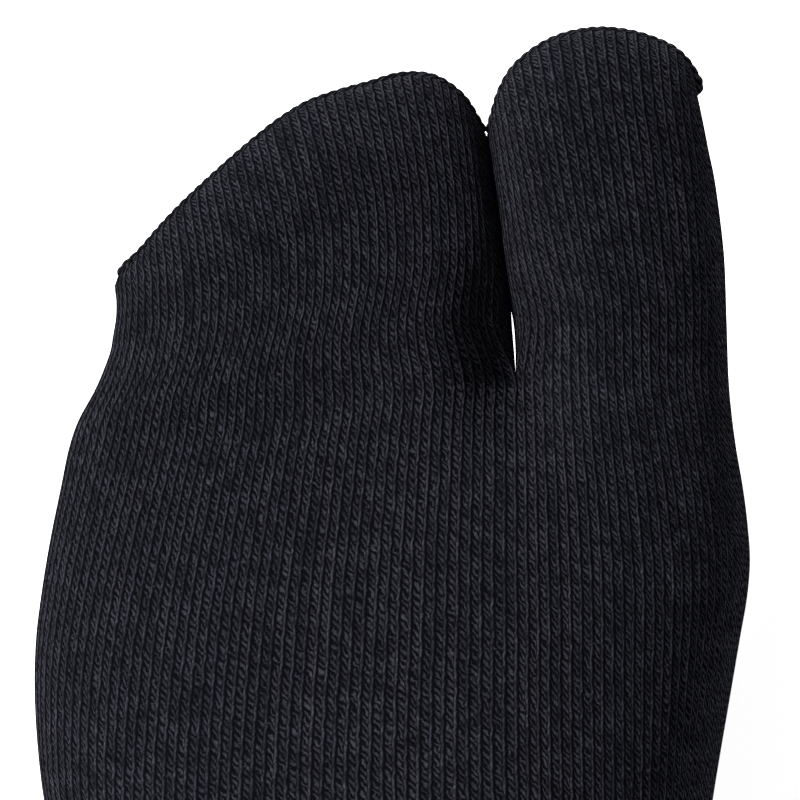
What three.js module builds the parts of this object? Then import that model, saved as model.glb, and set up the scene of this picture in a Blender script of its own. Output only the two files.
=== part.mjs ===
// Left tabi sock, filled out as it is worn, with no foot in it: a knitted tube that splits into a
// big-toe pocket and a four-toe pocket. Millimetres, +Z up, toes towards +Y, big toe on the +X side.
// The origin is the middle of the leg opening, where the leg's grip holds the sock up.
//
// The skin is worked out in a foot frame with the heel's back at y = 0 and the sole at z = 0, as rings of
// points from the cuff down to the toes. Each column of points is a group of wales, and a uniform
// Catmull-Rom spline carries it from ring to ring. Walls are those grids with an inner copy.

import * as THREE from 'three';
import { mergeVertices } from 'three/addons/utils/BufferGeometryUtils.js';

// ---- Driving sizes

const SOCK_HEIGHT = 222;
const LEG_CENTRE = { x: -1, y: 50.5 };
const WALL = 1.5;
const CUFF_WALL = 2.2;
const SEAM_GAP = 0.3;
const SIDE_GAP = 0.035; // of a facet, between the instep and the heel

// Facets round the tube, from the medial side over the instep to the lateral side and back under the sole.
const BIG_TOE_FACETS = 8;
const FOUR_TOE_FACETS = 12;
const WEB_FACETS = 1; // half of the short wall that bridges the fork between the pockets

const CLEFT_X = 15.7;
const CROTCH = { top: 17, bottom: 7, reach: 16, width: 7 };
const TOE_SIDE_HEIGHT = 11;
const SEAM_BAR = { depth: 1.2, height: 1.6 };

// Sections of the tube, from the cuff to the fork. y, z: the section's middle, on its widest line.
// tilt: 90 for a level section of the leg, 0 for an upright one of the foot. lateral, medial: x of the sides.
// up: from the middle to the shin or instep. down: to the calf, heel or sole. ridge: x of the crest.
// base: how square the sole side is, 2 for an ellipse.
const SECTIONS = [
  { y: 50.5, z: 222.0, tilt: 90, lateral: -36.5, medial: 34.5, up: 41.0, down: 43.0, ridge: -1, base: 2.0 },
  { y: 50.5, z: 207.0, tilt: 90, lateral: -36.0, medial: 34.0, up: 40.5, down: 42.5, ridge: -1, base: 2.0 },
  { y: 50.5, z: 192.0, tilt: 90, lateral: -35.5, medial: 33.5, up: 40.0, down: 42.0, ridge: -1, base: 2.0 },
  { y: 50.5, z: 174.0, tilt: 90, lateral: -34.0, medial: 32.0, up: 39.0, down: 40.5, ridge: -1, base: 2.0 },
  { y: 50.0, z: 154.0, tilt: 90, lateral: -32.5, medial: 30.5, up: 37.5, down: 39.0, ridge: -1, base: 2.0 },
  { y: 50.0, z: 132.0, tilt: 90, lateral: -31.5, medial: 29.5, up: 37.0, down: 38.0, ridge: -1, base: 2.0 },
  { y: 50.0, z: 112.0, tilt: 90, lateral: -32.0, medial: 30.0, up: 38.0, down: 38.5, ridge: -1, base: 2.0 },
  { y: 48.3, z: 98.2, tilt: 78.75, lateral: -33.0, medial: 31.5, up: 40.0, down: 40.5, ridge: -1, base: 2.1 },
  { y: 46.9, z: 82.5, tilt: 67.5, lateral: -33.5, medial: 32.0, up: 44.0, down: 46.5, ridge: 0, base: 2.2 },
  { y: 44.8, z: 63.1, tilt: 56.25, lateral: -34.0, medial: 31.0, up: 51.0, down: 52.6, ridge: 0, base: 2.3 },
  { y: 49.4, z: 43.4, tilt: 45, lateral: -34.5, medial: 30.5, up: 58.0, down: 54.5, ridge: 0, base: 2.4 },
  { y: 65.2, z: 33.0, tilt: 33.75, lateral: -35.5, medial: 31.5, up: 53.0, down: 39.7, ridge: 1, base: 2.6 },
  { y: 82.8, z: 27.0, tilt: 22.5, lateral: -37.5, medial: 33.5, up: 46.0, down: 29.2, ridge: 1, base: 2.8 },
  { y: 101.0, z: 20.0, tilt: 11.25, lateral: -40.0, medial: 35.5, up: 45.0, down: 20.4, ridge: 2, base: 3.0 },
  { y: 118.0, z: 16.0, tilt: 0, lateral: -42.5, medial: 37.5, up: 44.0, down: 16.0, ridge: 3, base: 3.2 },
  { y: 134.0, z: 15.0, tilt: 0, lateral: -46.0, medial: 40.4, up: 37.5, down: 15.0, ridge: 7, base: 3.2 },
  { y: 150.0, z: 14.0, tilt: 0, lateral: -48.8, medial: 43.0, up: 32.0, down: 14.0, ridge: 10, base: 3.2 },
  { y: 165.0, z: 13.0, tilt: 0, lateral: -49.5, medial: 45.6, up: 27.0, down: 13.0, ridge: 13, base: 3.2 },
  { y: 177.0, z: 12.5, tilt: 0, lateral: -48.1, medial: 47.4, up: 23.5, down: 12.5, ridge: 16, base: 3.2 },
  { y: 187.0, z: 12.0, tilt: 0, lateral: -46.2, medial: 46.6, up: 20.5, down: 12.0, ridge: 18, base: 3.2 },
  { y: 195.5, z: 12.0, tilt: 0, lateral: -44.2, medial: 45.2, up: 17.5, down: 12.0, ridge: 20, base: 3.2 },
  { y: 203.0, z: 12.0, tilt: 0, lateral: -40.4, medial: 44.5, up: 15.0, down: 12.0, ridge: 22, base: 3.2 },
];
const LEG_START = 2; // the rings where one piece ends and the next starts
const ANKLE_START = 6;
const FOOT_START = 14;
const FORK = SECTIONS.length - 1;

// The fork's slit, seen from above: the line between the two pockets and half the gap between them.
const CLEFT = [
  { y: 203.0, x: 15.7, half: 0.45 },
  { y: 209.5, x: 15.4, half: 0.4 },
  { y: 216.0, x: 14.5, half: 0.3 },
  { y: 226.5, x: 13.1, half: 0.3 },
  { y: 235.5, x: 11.8, half: 0.3 },
];

// Each pocket's outer side and its linked toe seam, seen from above, both as the corner points of a spline.
const POCKETS = {
  big_toe: {
    columns: BIG_TOE_FACETS,
    outerSide: [[44.5, 203], [44.2, 213], [43.6, 224], [41.6, 235], [40.4, 241]],
    seam: [[40.4, 241], [38.8, 246], [33.8, 248.9], [27, 250], [20.2, 248.4], [14.6, 243.7], [12, 235.5]],
    heights: [26.5, 25.5, 24],
  },
  four_toes: {
    columns: FOUR_TOE_FACETS,
    outerSide: [[-40.4, 203], [-39, 207], [-38.3, 211], [-38.1, 214], [-37.9, 216.5]],
    seam: [[-37.9, 216.5], [-28.9, 226.8], [-15, 238.6], [-5, 242.4], [2.5, 244], [8, 241.4], [11.6, 235.5]],
    heights: [24, 22.5, 21],
  },
};
const BODY_STEPS = [0.2, 0.4]; // how far from the fork to the seam a pocket keeps its full height
const CLOSING_START = 0.6; // from here it rounds over to the seam
const CLOSING_STEPS = 4;
const SIDE_POWER = 2.6; // how square a pocket's section is
const POCKET_BODY_ROWS = [1.5, 2, 2.5, 3]; // ring numbers of a pocket's rows before it rounds over

// ---- Curves and rings

/** The point at s along a uniform Catmull-Rom spline, one unit of s from each point to the next. */
function along(points, s) {
  const curve = new THREE.CatmullRomCurve3(points, false, 'catmullrom', 0.5);
  return curve.getPoint(s / (points.length - 1));
}

/** count + 1 points evenly spaced by length on the curve that pointAt draws from start to end. */
function spaced(pointAt, start, end, count) {
  const SAMPLES = 240;
  const fine = [];
  for (let i = 0; i <= SAMPLES; i++) fine.push(pointAt(start + ((end - start) * i) / SAMPLES));
  const reach = [0];
  for (let i = 1; i <= SAMPLES; i++) reach.push(reach[i - 1] + fine[i].distanceTo(fine[i - 1]));
  const points = [];
  let at = 0;
  for (let k = 0; k <= count; k++) {
    const target = (reach[SAMPLES] * k) / count;
    while (at < SAMPLES - 1 && reach[at + 1] < target) at++;
    const share = (target - reach[at]) / (reach[at + 1] - reach[at]);
    points.push(fine[at].clone().lerp(fine[at + 1], Math.min(share, 1)));
  }
  return points;
}

/** x and half gap of the cleft at y, straight between the table's rows. */
function cleftAt(y) {
  const last = CLEFT.length - 1;
  let row = 0;
  while (row < last - 1 && CLEFT[row + 1].y < y) row++;
  const [a, b] = [CLEFT[row], CLEFT[row + 1]];
  const share = THREE.MathUtils.clamp((y - a.y) / (b.y - a.y), 0, 1);
  return { x: THREE.MathUtils.lerp(a.x, b.x, share), half: THREE.MathUtils.lerp(a.half, b.half, share) };
}

/** How far the skin has sunk into the fork at a section: 0 behind it, 1 where the tube splits. */
function sinking(row) {
  const share = (row.y - (SECTIONS[FORK].y - CROTCH.reach)) / CROTCH.reach;
  return row.tilt === 0 ? Math.pow(Math.max(share, 0), 2.5) : 0;
}

/** A point of a section at an angle: 0 medial, half a turn lateral, over the instep and back under the sole. */
function sectionPoint(row, angle) {
  const middle = (row.lateral + row.medial) / 2;
  const half = (row.medial - row.lateral) / 2;
  const [c, s] = [Math.cos(angle), Math.sin(angle)];
  const onSole = s < 0;
  const power = onSole ? 2 / row.base : 1;
  const lean = onSole ? 0 : (row.ridge - middle) * s * s;
  const x = middle + half * Math.sign(c) * Math.pow(Math.abs(c), power) + lean;
  let rise = onSole ? -row.down * Math.pow(-s, power) : row.up * s;
  const dip = sinking(row) * Math.exp(-(((x - CLEFT_X) / CROTCH.width) ** 2));
  const forkLevel = (onSole ? CROTCH.bottom : CROTCH.top) - row.z;
  rise += (forkLevel - rise) * dip;
  const tilt = THREE.MathUtils.degToRad(row.tilt);
  return new THREE.Vector3(x, row.y + rise * Math.sin(tilt), row.z + rise * Math.cos(tilt));
}

/** The angle on the instep (side 1) or the sole (side -1) where a section passes over the cleft's x. */
function cleftAngle(row, side) {
  let [low, high] = [0, Math.PI];
  for (let i = 0; i < 30; i++) {
    const mid = (low + high) / 2;
    if (sectionPoint(row, side * mid).x > CLEFT_X) low = mid;
    else high = mid;
  }
  return side * low;
}

/** A tube ring: big-toe wales of the instep, four-toe wales, the sole's four-toe wales, its big-toe wales. */
function tubeRing(row) {
  const at = (angle) => sectionPoint(row, angle);
  if (row.tilt > 0) {
    const half = BIG_TOE_FACETS + FOUR_TOE_FACETS;
    return [...spaced(at, 0, Math.PI, half).slice(0, -1), ...spaced(at, -Math.PI, 0, half).slice(0, -1)];
  }
  const [over, under] = [cleftAngle(row, 1), cleftAngle(row, -1)];
  return [
    ...spaced(at, 0, over, BIG_TOE_FACETS).slice(0, -1),
    ...spaced(at, over, Math.PI, FOUR_TOE_FACETS).slice(0, -1),
    ...spaced(at, -Math.PI, under, FOUR_TOE_FACETS).slice(0, -1),
    ...spaced(at, under, 0, BIG_TOE_FACETS).slice(0, -1),
  ];
}
const TUBE = SECTIONS.map(tubeRing);
const AROUND = TUBE[0].length;

/** The tube's columns in a pocket's order: outer side over the instep to the cleft, then back below. */
function tubeColumns(pocket) {
  const first = pocket === POCKETS.big_toe ? 0 : AROUND / 2;
  const turn = pocket === POCKETS.big_toe ? 1 : -1;
  const over = Array.from({ length: pocket.columns + 1 }, (_, i) => (first + turn * i + AROUND) % AROUND);
  const under = over.map((column) => (AROUND - column) % AROUND).reverse();
  return { over, under };
}

/** The web's points at the fork: straight down from the sunken instep to the raised sole. */
function webPoints(top, bottom) {
  const steps = 2 * WEB_FACETS;
  return Array.from({ length: steps - 1 }, (_, i) => top.clone().lerp(bottom, (i + 1) / steps));
}

/** A pocket's plan: (share, across) to x, y. across is 0 on the outer side and 1 on the cleft. */
function planPoint(pocket, share, across) {
  const outer = pocket.outerSide.map(([x, y]) => new THREE.Vector3(x, y, 0));
  const seam = pocket.seam.map(([x, y]) => new THREE.Vector3(x, y, 0));
  const away = Math.sign(outer[0].x);
  const innerAt = (part) => {
    const y = THREE.MathUtils.lerp(CLEFT[0].y, seam[seam.length - 1].y, part);
    const cleft = cleftAt(y);
    return new THREE.Vector3(cleft.x + away * cleft.half, y, 0);
  };
  const outerAt = (part) => along(outer, part * (outer.length - 1));
  const seamAt = (part) => along(seam, part * (seam.length - 1));
  const blend = (a, b, part) => a.clone().lerp(b, part);
  const sides = blend(outerAt(share), innerAt(share), across);
  const ends = blend(blend(outerAt(0), innerAt(0), across), seamAt(across), share);
  const corners = blend(blend(outerAt(0), innerAt(0), across), blend(outerAt(1), innerAt(1), across), share);
  return sides.add(ends).sub(corners);
}

/** A pocket's ring at a share of the way to the seam, its height scaled by lift, 0 at the seam itself. */
function pocketRing(pocket, share, height, lift) {
  const side = (angle) => {
    const across = (1 - Math.cos(angle)) / 2;
    const point = planPoint(pocket, share, across);
    const crown = Math.pow(1 - Math.pow(Math.abs(2 * across - 1), SIDE_POWER), 1 / SIDE_POWER);
    return { point, crown };
  };
  const over = (angle) => {
    const { point, crown } = side(angle);
    return point.setZ(TOE_SIDE_HEIGHT + (height - TOE_SIDE_HEIGHT) * crown * lift);
  };
  const under = (angle) => {
    const { point, crown } = side(angle);
    return point.setZ(TOE_SIDE_HEIGHT * (1 - crown * lift));
  };
  const half = pocket.columns + WEB_FACETS;
  return [...spaced(over, 0, Math.PI, half).slice(0, -1), ...spaced(under, Math.PI, 0, half).slice(0, -1)];
}

/** A pocket's rings from the fork to the seam, as columns, each with a point behind the fork in front. */
function pocketColumns(pocket) {
  const { over, under } = tubeColumns(pocket);
  const fork = TUBE[FORK];
  const web = webPoints(fork[over.at(-1)], fork[under[0]]);
  const away = Math.sign(pocket.outerSide[0][0]);
  const mouth = [...over.map((c) => fork[c]), ...web, ...under.slice(0, -1).map((c) => fork[c])];
  const first = mouth.map((point) => {
    const side = Math.max(away * (point.x - CLEFT_X), SEAM_GAP / 2);
    return point.clone().setX(CLEFT_X + away * side);
  });
  const rings = [first];
  BODY_STEPS.forEach((share, i) => rings.push(pocketRing(pocket, share, pocket.heights[i], 1)));
  for (let i = 0; i <= CLOSING_STEPS; i++) {
    const turn = (Math.PI / 2) * (i / CLOSING_STEPS);
    const share = CLOSING_START + (1 - CLOSING_START) * Math.sin(turn);
    rings.push(pocketRing(pocket, share, pocket.heights[2], i === CLOSING_STEPS ? 0 : Math.cos(turn)));
  }
  const behind = [...over, ...web.map(() => -1), ...under.slice(0, -1)];
  return behind.map((column, i) => {
    const points = rings.map((ring) => ring[i]);
    const before = column < 0 ? points[0].clone().multiplyScalar(2).sub(points[1]) : TUBE[FORK - 1][column];
    return [before, ...points];
  });
}

// ---- Solids

/** Unit normals of a grid of points, rows by columns, from the differences of its neighbours. */
function gridNormals(rows, closedAround) {
  const count = rows[0].length;
  const at = (r, c) => {
    const column = closedAround ? (c + count) % count : THREE.MathUtils.clamp(c, 0, count - 1);
    return rows[THREE.MathUtils.clamp(r, 0, rows.length - 1)][column];
  };
  return rows.map((row, r) =>
    row.map((_, c) => {
      const across = at(r, c + 1).clone().sub(at(r, c - 1));
      const down = at(r + 1, c).clone().sub(at(r - 1, c));
      return across.cross(down).normalize();
    })
  );
}

/** The inner face of a wall: the grid moved along its normals, turn being -1 where those point outwards. */
function innerRows(rows, wall, turn, closedAround = true) {
  const normals = gridNormals(rows, closedAround);
  const moved = (point, r, c) => point.clone().addScaledVector(normals[r][c], wall * turn);
  return rows.map((row, r) => row.map((point, c) => moved(point, r, c)));
}

/** The same for a pocket, whose last row is its seam: there both halves step back from the tip together. */
function innerPocketRows(rows, wall, turn) {
  const inner = innerRows(rows, wall, turn);
  const [before, seam] = rows.slice(-2);
  const count = seam.length;
  const forward = seam.map((point, c) => {
    const over = point.clone().sub(before[c]);
    const under = point.clone().sub(before[(count - c) % count]);
    return over.add(under).setZ(0).normalize();
  });
  inner[inner.length - 1] = seam.map((point, c) => point.clone().addScaledVector(forward[c], -wall));
  return inner;
}

/** A mesh from rows of points. wrapRows joins the last row to the first, wrapColumns each row's ends. */
function skinGeometry(rows, { wrapRows, wrapColumns, caps = false }) {
  const columns = rows[0].length;
  const positions = rows.flat().flatMap((p) => [p.x, p.y, p.z]);
  const index = (r, c) => (r % rows.length) * columns + (c % columns);
  const triangles = [];
  const quad = (a, b, c, d) => triangles.push([a, b, c], [a, c, d]);
  for (let r = 0; r < rows.length - (wrapRows ? 0 : 1); r++) {
    for (let c = 0; c < columns - (wrapColumns ? 0 : 1); c++) {
      quad(index(r, c), index(r, c + 1), index(r + 1, c + 1), index(r + 1, c));
    }
  }
  if (caps) {
    for (let r = 0; r < rows.length / 2 - 1; r++) {
      const mirror = rows.length - 1 - r;
      quad(index(r, 0), index(r + 1, 0), index(mirror - 1, 0), index(mirror, 0));
      const last = columns - 1;
      quad(index(mirror, last), index(mirror - 1, last), index(r + 1, last), index(r, last));
    }
  }
  let geometry = new THREE.BufferGeometry();
  geometry.setAttribute('position', new THREE.Float32BufferAttribute(positions, 3));
  geometry.setIndex(triangles.flat());
  geometry = mergeVertices(geometry, 1e-4);
  return facingOut(geometry);
}

/** Drops triangles that merging has flattened, and turns the body right side out. */
function facingOut(geometry) {
  const position = geometry.getAttribute('position');
  const index = geometry.getIndex().array;
  const corner = (i) => new THREE.Vector3().fromBufferAttribute(position, i);
  const kept = [];
  let volume = 0;
  for (let i = 0; i < index.length; i += 3) {
    const [a, b, c] = [index[i], index[i + 1], index[i + 2]];
    if (a === b || b === c || c === a) continue;
    kept.push([a, b, c]);
    volume += corner(a).dot(corner(b).cross(corner(c)));
  }
  geometry.setIndex(kept.flatMap(([a, b, c]) => (volume > 0 ? [a, b, c] : [a, c, b])));
  geometry.computeVertexNormals();
  return geometry;
}

/** The grid of a stretch of the tube between two ring numbers, over some columns, whole or part. */
function tubeGrid(start, end, steps, columns) {
  const rows = [];
  for (let i = 0; i <= steps; i++) {
    const s = start + ((end - start) * i) / steps;
    rows.push(columns.map((column) => tubePoint(column, s)));
  }
  return rows;
}

/** The skin at a column, which may be part of the way to the next, and a ring number along the tube. */
function tubePoint(column, s) {
  const from = Math.floor(column);
  const share = column - from;
  const at = (c) => along(TUBE.map((ring) => ring[(c + AROUND) % AROUND]), s);
  return share > 0 ? at(from).lerp(at(from + 1), share) : at(from);
}

const ALL_COLUMNS = Array.from({ length: AROUND }, (_, c) => c);

/** Moves the ends of a stretch in by half the seam's gap, in ring numbers. */
function clearEnds(start, end) {
  const crest = AROUND / 4;
  const spacing = (ring) => tubePoint(crest, ring).distanceTo(tubePoint(crest, ring + 1));
  const startGap = start === 0 ? 0 : SEAM_GAP / 2 / spacing(start);
  const endGap = SEAM_GAP / 2 / spacing(end - 1);
  return [start + startGap, end - endGap];
}

/** A length of tube with its wall. Its rows run out along the skin and back along the inner face. */
function tubeSolid(start, end, steps, wall) {
  const outer = tubeGrid(...clearEnds(start, end), steps, ALL_COLUMNS);
  const rows = [...outer, ...innerRows(outer, wall, inward).reverse()];
  return skinGeometry(rows, { wrapRows: true, wrapColumns: true });
}

/** A panel of the ankle, from one side of the tube to the other, with its wall. */
function panelSolid(firstColumn, lastColumn, steps) {
  const columns = Array.from({ length: lastColumn - firstColumn + 1 }, (_, i) => firstColumn + i);
  columns[0] += SIDE_GAP;
  columns[columns.length - 1] -= SIDE_GAP;
  const outer = tubeGrid(...clearEnds(ANKLE_START, FOOT_START), steps, columns);
  const rows = [...outer, ...innerRows(outer, WALL, inward, false).reverse()];
  return skinGeometry(rows, { wrapRows: true, wrapColumns: false, caps: true });
}
const inward = -tubeTurn();

/** 1 if the tube's grid normals point out of the tube, -1 if they point into it. */
function tubeTurn() {
  const grid = tubeGrid(0, 1, 1, ALL_COLUMNS);
  const normal = gridNormals(grid, true)[0][0];
  return Math.sign(normal.x);
}

/** A pocket's outer rows from just past the fork to its seam. */
function pocketRows(pocket) {
  const columns = pocketColumns(pocket);
  const last = columns[0].length - 1;
  const starts = columns.map((points) => 1 + SEAM_GAP / 2 / points[1].distanceTo(points[2]));
  const rows = [columns.map((points, c) => along(points, starts[c]))];
  for (const s of POCKET_BODY_ROWS) rows.push(columns.map((points) => along(points, s)));
  for (let ring = 4; ring <= last; ring++) rows.push(columns.map((points) => points[ring]));
  return rows;
}

/** A pocket with its wall: out along the skin to the seam, and back inside. */
function pocketSolid(pocket) {
  const outer = pocketRows(pocket);
  const turn = pocket === POCKETS.big_toe ? inward : -inward;
  const inner = innerPocketRows(outer, WALL, turn);
  return skinGeometry([...outer.reverse(), ...inner], { wrapRows: false, wrapColumns: true });
}

/** The raised linking seam round a pocket's tip, a bar just clear of the cloth. */
function seamSolid(pocket) {
  const rows = pocketRows(pocket);
  const half = rows[0].length / 2;
  const line = rows.at(-1).slice(0, half - 1);
  const away = Math.sign(line[0].x - line.at(-1).x);
  const corner = (ahead, rise) =>
    line.map((point, i) => {
      const before = line[Math.max(i - 1, 0)];
      const after = line[Math.min(i + 1, line.length - 1)];
      const run = after.clone().sub(before).normalize();
      const outward = new THREE.Vector3(run.y, -run.x, 0).multiplyScalar(away);
      return point.clone().addScaledVector(outward, ahead).setZ(point.z + rise);
    });
  const [near, far] = [SEAM_GAP, SEAM_GAP + SEAM_BAR.depth];
  const rise = SEAM_BAR.height / 2;
  const bar = [corner(near, -rise), corner(far, -rise), corner(far, rise), corner(near, rise)];
  return skinGeometry(bar, { wrapRows: true, wrapColumns: false, caps: true });
}

// ---- The sock

const KNIT_COLOUR = 0x212127;
const sock = new THREE.Group();

/** Adds one named piece, moved from the foot frame to the leg opening's middle. */
function addPiece(name, geometry, roughness) {
  const material = new THREE.MeshStandardMaterial({ color: KNIT_COLOUR, roughness, metalness: 0 });
  const piece = new THREE.Mesh(geometry, material);
  piece.name = name;
  piece.position.set(-LEG_CENTRE.x, -LEG_CENTRE.y, -SOCK_HEIGHT);
  sock.add(piece);
}

const half = AROUND / 2;
addPiece('cuff', tubeSolid(0, LEG_START, 3, CUFF_WALL), 0.9);
addPiece('leg', tubeSolid(LEG_START, ANKLE_START, 8, WALL), 0.95);
addPiece('instep', panelSolid(0, half, 12), 0.95);
addPiece('heel', panelSolid(half, AROUND, 16), 0.95);
addPiece('foot', tubeSolid(FOOT_START, FORK, 16, WALL), 0.95);
addPiece('four_toe_pocket', pocketSolid(POCKETS.four_toes), 0.95);
addPiece('big_toe_pocket', pocketSolid(POCKETS.big_toe), 0.95);
addPiece('four_toe_seam', seamSolid(POCKETS.four_toes), 0.9);
addPiece('big_toe_seam', seamSolid(POCKETS.big_toe), 0.9);

export default sock;
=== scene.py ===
"""Left tabi sock, filled out as worn: a jersey-knit skin round the CAD walls, laid out as an add-on.

Shapes are worked out in a foot frame, in millimetres, with the heel's back at y = 0 and the sole at
z = 0, and moved to the row frame at the end. Every knit piece is a grid whose columns are wales and
whose rows are courses, and its UV map "knit" holds those two counts.
"""

import math

import bpy
import numpy as np
from bpy.props import FloatProperty, FloatVectorProperty, PointerProperty
from bpy.types import Operator, Panel, PropertyGroup
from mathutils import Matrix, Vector


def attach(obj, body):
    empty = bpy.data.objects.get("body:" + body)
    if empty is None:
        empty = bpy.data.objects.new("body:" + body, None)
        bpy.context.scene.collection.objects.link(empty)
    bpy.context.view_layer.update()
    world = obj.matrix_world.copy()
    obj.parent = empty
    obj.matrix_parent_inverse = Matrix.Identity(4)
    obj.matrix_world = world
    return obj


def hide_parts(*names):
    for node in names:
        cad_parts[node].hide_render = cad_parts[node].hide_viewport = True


bl_info = {
    "name": "Tabi sock",
    "version": (1, 0, 0),
    "blender": (4, 5, 0),
    "location": "View3D > Sidebar > Tabi sock",
    "description": "Knits a split-toe sock round its CAD walls and lights it for a close-up of the toes",
    "category": "Add Mesh",
}

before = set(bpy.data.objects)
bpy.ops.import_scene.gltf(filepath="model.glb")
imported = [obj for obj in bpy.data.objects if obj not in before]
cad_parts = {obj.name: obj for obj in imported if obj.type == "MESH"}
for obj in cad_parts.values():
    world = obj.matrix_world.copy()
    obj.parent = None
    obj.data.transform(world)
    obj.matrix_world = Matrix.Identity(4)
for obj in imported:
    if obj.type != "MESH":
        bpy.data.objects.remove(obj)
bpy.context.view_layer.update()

# ---- Sizes of the sock, in millimetres

SOCK_HEIGHT = 222.0
LEG_CENTRE = (-1.0, 50.5)
TO_ROW_FRAME = np.array([-LEG_CENTRE[0], -LEG_CENTRE[1], -SOCK_HEIGHT])
MM = 0.001

WALES_ROUND = 160
BIG_TOE_WALES = 32  # of each face, instep and sole
FOUR_TOE_WALES = 48
WEB_WALES = 5  # half of the wall that bridges the fork
COURSE = 1.08  # height of a course
PER_WALE = 4  # mesh columns in a wale
SHIN_COLUMN = WALES_ROUND // 4 * PER_WALE  # the instep's middle column, whose length gives the courses

CLEFT_X = 15.7
FORK_Y = 203.0
FORK_TOP, FORK_BOTTOM = 16.0, 8.0  # heights of the cloth where it has sunk into the fork
FORK_REACH, FORK_WIDTH, FORK_POWER = 17.0, 6.5, 2.5  # the dip's length, half width and steepness
TOE_SIDE_HEIGHT = 11.0
COURSE_SLANT = 10.0  # how far the lateral end of a course lies behind its medial end
SLANT_REACH = 28.0  # length of foot over which the courses take up their slant

# The tube's sections from the cuff to the middle of the foot. y, z: the section's middle, on its
# widest line. tilt: 90 for a level section of the leg, 0 for an upright one of the foot. lateral,
# medial: x of the sides. up: to the shin or instep. down: to the calf, heel or sole. ridge: x of
# the crest. base: how square the sole side is, 2 for an ellipse.
SECTION_COLUMNS = ("y", "z", "tilt", "lateral", "medial", "up", "down", "ridge", "base")
LEG_SECTIONS = (
    (50.5, 222.0, 90.0, -36.5, 34.5, 41.0, 43.0, -1.0, 2.0),
    (50.5, 207.0, 90.0, -36.0, 34.0, 40.5, 42.5, -1.0, 2.0),
    (50.5, 192.0, 90.0, -35.5, 33.5, 40.0, 42.0, -1.0, 2.0),
    (50.5, 174.0, 90.0, -34.0, 32.0, 39.0, 40.5, -1.0, 2.0),
    (50.0, 154.0, 90.0, -32.5, 30.5, 37.5, 39.0, -1.0, 2.0),
    (50.0, 132.0, 90.0, -31.5, 29.5, 37.0, 38.0, -1.0, 2.0),
    (50.0, 112.0, 90.0, -32.0, 30.0, 38.0, 38.5, -1.0, 2.0),
    (48.3, 98.2, 78.75, -33.0, 31.5, 40.0, 40.5, -1.0, 2.1),
    (46.9, 82.5, 67.5, -33.5, 32.0, 44.0, 46.5, 0.0, 2.2),
    (44.8, 63.1, 56.25, -34.0, 31.0, 51.0, 52.6, 0.0, 2.3),
    (49.4, 43.4, 45.0, -34.5, 30.5, 58.0, 54.5, 0.0, 2.4),
    (65.2, 33.0, 33.75, -35.5, 31.5, 53.0, 39.7, 1.0, 2.6),
    (82.8, 27.0, 22.5, -37.5, 33.5, 46.0, 29.2, 1.0, 2.8),
    (101.0, 20.0, 11.25, -40.0, 35.5, 45.0, 20.4, 2.0, 3.0),
)
FOOT_SECTIONS = (
    (118.0, 16.0, 0.0, -42.5, 37.5, 44.0, 16.0, 3.0, 3.2),
    (134.0, 15.0, 0.0, -46.0, 40.4, 37.5, 15.0, 7.0, 3.2),
    (150.0, 14.0, 0.0, -48.8, 43.0, 32.0, 14.0, 10.0, 3.2),
    (165.0, 13.0, 0.0, -49.5, 45.6, 27.0, 13.0, 13.0, 3.2),
    (177.0, 12.5, 0.0, -48.1, 47.4, 23.5, 12.5, 16.0, 3.2),
    (187.0, 12.0, 0.0, -46.2, 46.6, 20.5, 12.0, 18.0, 3.2),
    (195.5, 12.0, 0.0, -44.2, 45.2, 17.5, 12.0, 20.0, 3.2),
    (203.0, 12.0, 0.0, -40.4, 44.5, 15.0, 12.0, 22.0, 3.2),
)
CUFF_END, ANKLE_START, FOOT_START = 2, 6, len(LEG_SECTIONS)
FOOT_RINGS = 18  # rings from the first foot section to the fork
FORK = FOOT_START + FOOT_RINGS - 1
FOOT_SPLIT = FOOT_START + 5  # ring where the foot's rear piece ends

# The line between the pockets seen from above, and half the gap between them.
CLEFT_LINE = (
    # y, x, half gap
    (203.0, 15.7, 0.02),
    (204.5, 15.7, 0.40),
    (208.0, 15.5, 0.32),
    (210.8, 15.2, -0.08),
    (226.5, 13.1, -0.1),
    (235.5, 11.8, -0.1),
)

# Each pocket's outer side and linked toe seam, seen from above, and its height at three rings.
# starts: the wales where its two arcs of the tube begin, the first running to the cleft and the
# second back from it. bow: how far its wales bow in x half way along. ear: how far the cloth pushes
# out beside the seam's outer end. knot: width of the seam's knot there.
POCKETS = {
    "big_toe": dict(
        wales=BIG_TOE_WALES,
        starts=(0, WALES_ROUND - BIG_TOE_WALES),
        instep_first=True,
        node="big_toe_pocket",
        seam_node="big_toe_seam",
        side=((44.5, 203.0), (44.2, 213.0), (43.6, 224.0), (41.6, 235.0), (40.4, 241.0)),
        seam=(
            (40.4, 241), (38.8, 246), (33.8, 248.9), (27, 250),
            (20.2, 248.4), (14.6, 243.7), (11.7, 235.5),
        ),
        heights=(26.5, 25.5, 24.0),
        bow=-0.8,
        ear=0.0,
        knot=2.5,
    ),
    "four_toes": dict(
        wales=FOUR_TOE_WALES,
        starts=(WALES_ROUND // 2, BIG_TOE_WALES),
        instep_first=False,
        node="four_toe_pocket",
        seam_node="four_toe_seam",
        side=((-45.0, 193.0), (-43.2, 198.0), (-40.2, 203.5), (-38.8, 209.5), (-37.9, 216.5)),
        seam=(
            (-37.9, 216.5), (-28.9, 226.8), (-15, 238.6), (-5, 242.4),
            (2.5, 244), (8, 241.4), (11.9, 235.5),
        ),
        heights=(24.0, 22.5, 21.0),
        bow=2.7,
        ear=0.65,
        knot=1.7,
    ),
}
BODY_SHARES = (0.2, 0.4)  # how far from fork to seam a pocket keeps its full section
CLOSING_START, CLOSING_STEPS = 0.6, 6  # where it rounds over, and in how many rings
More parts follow.
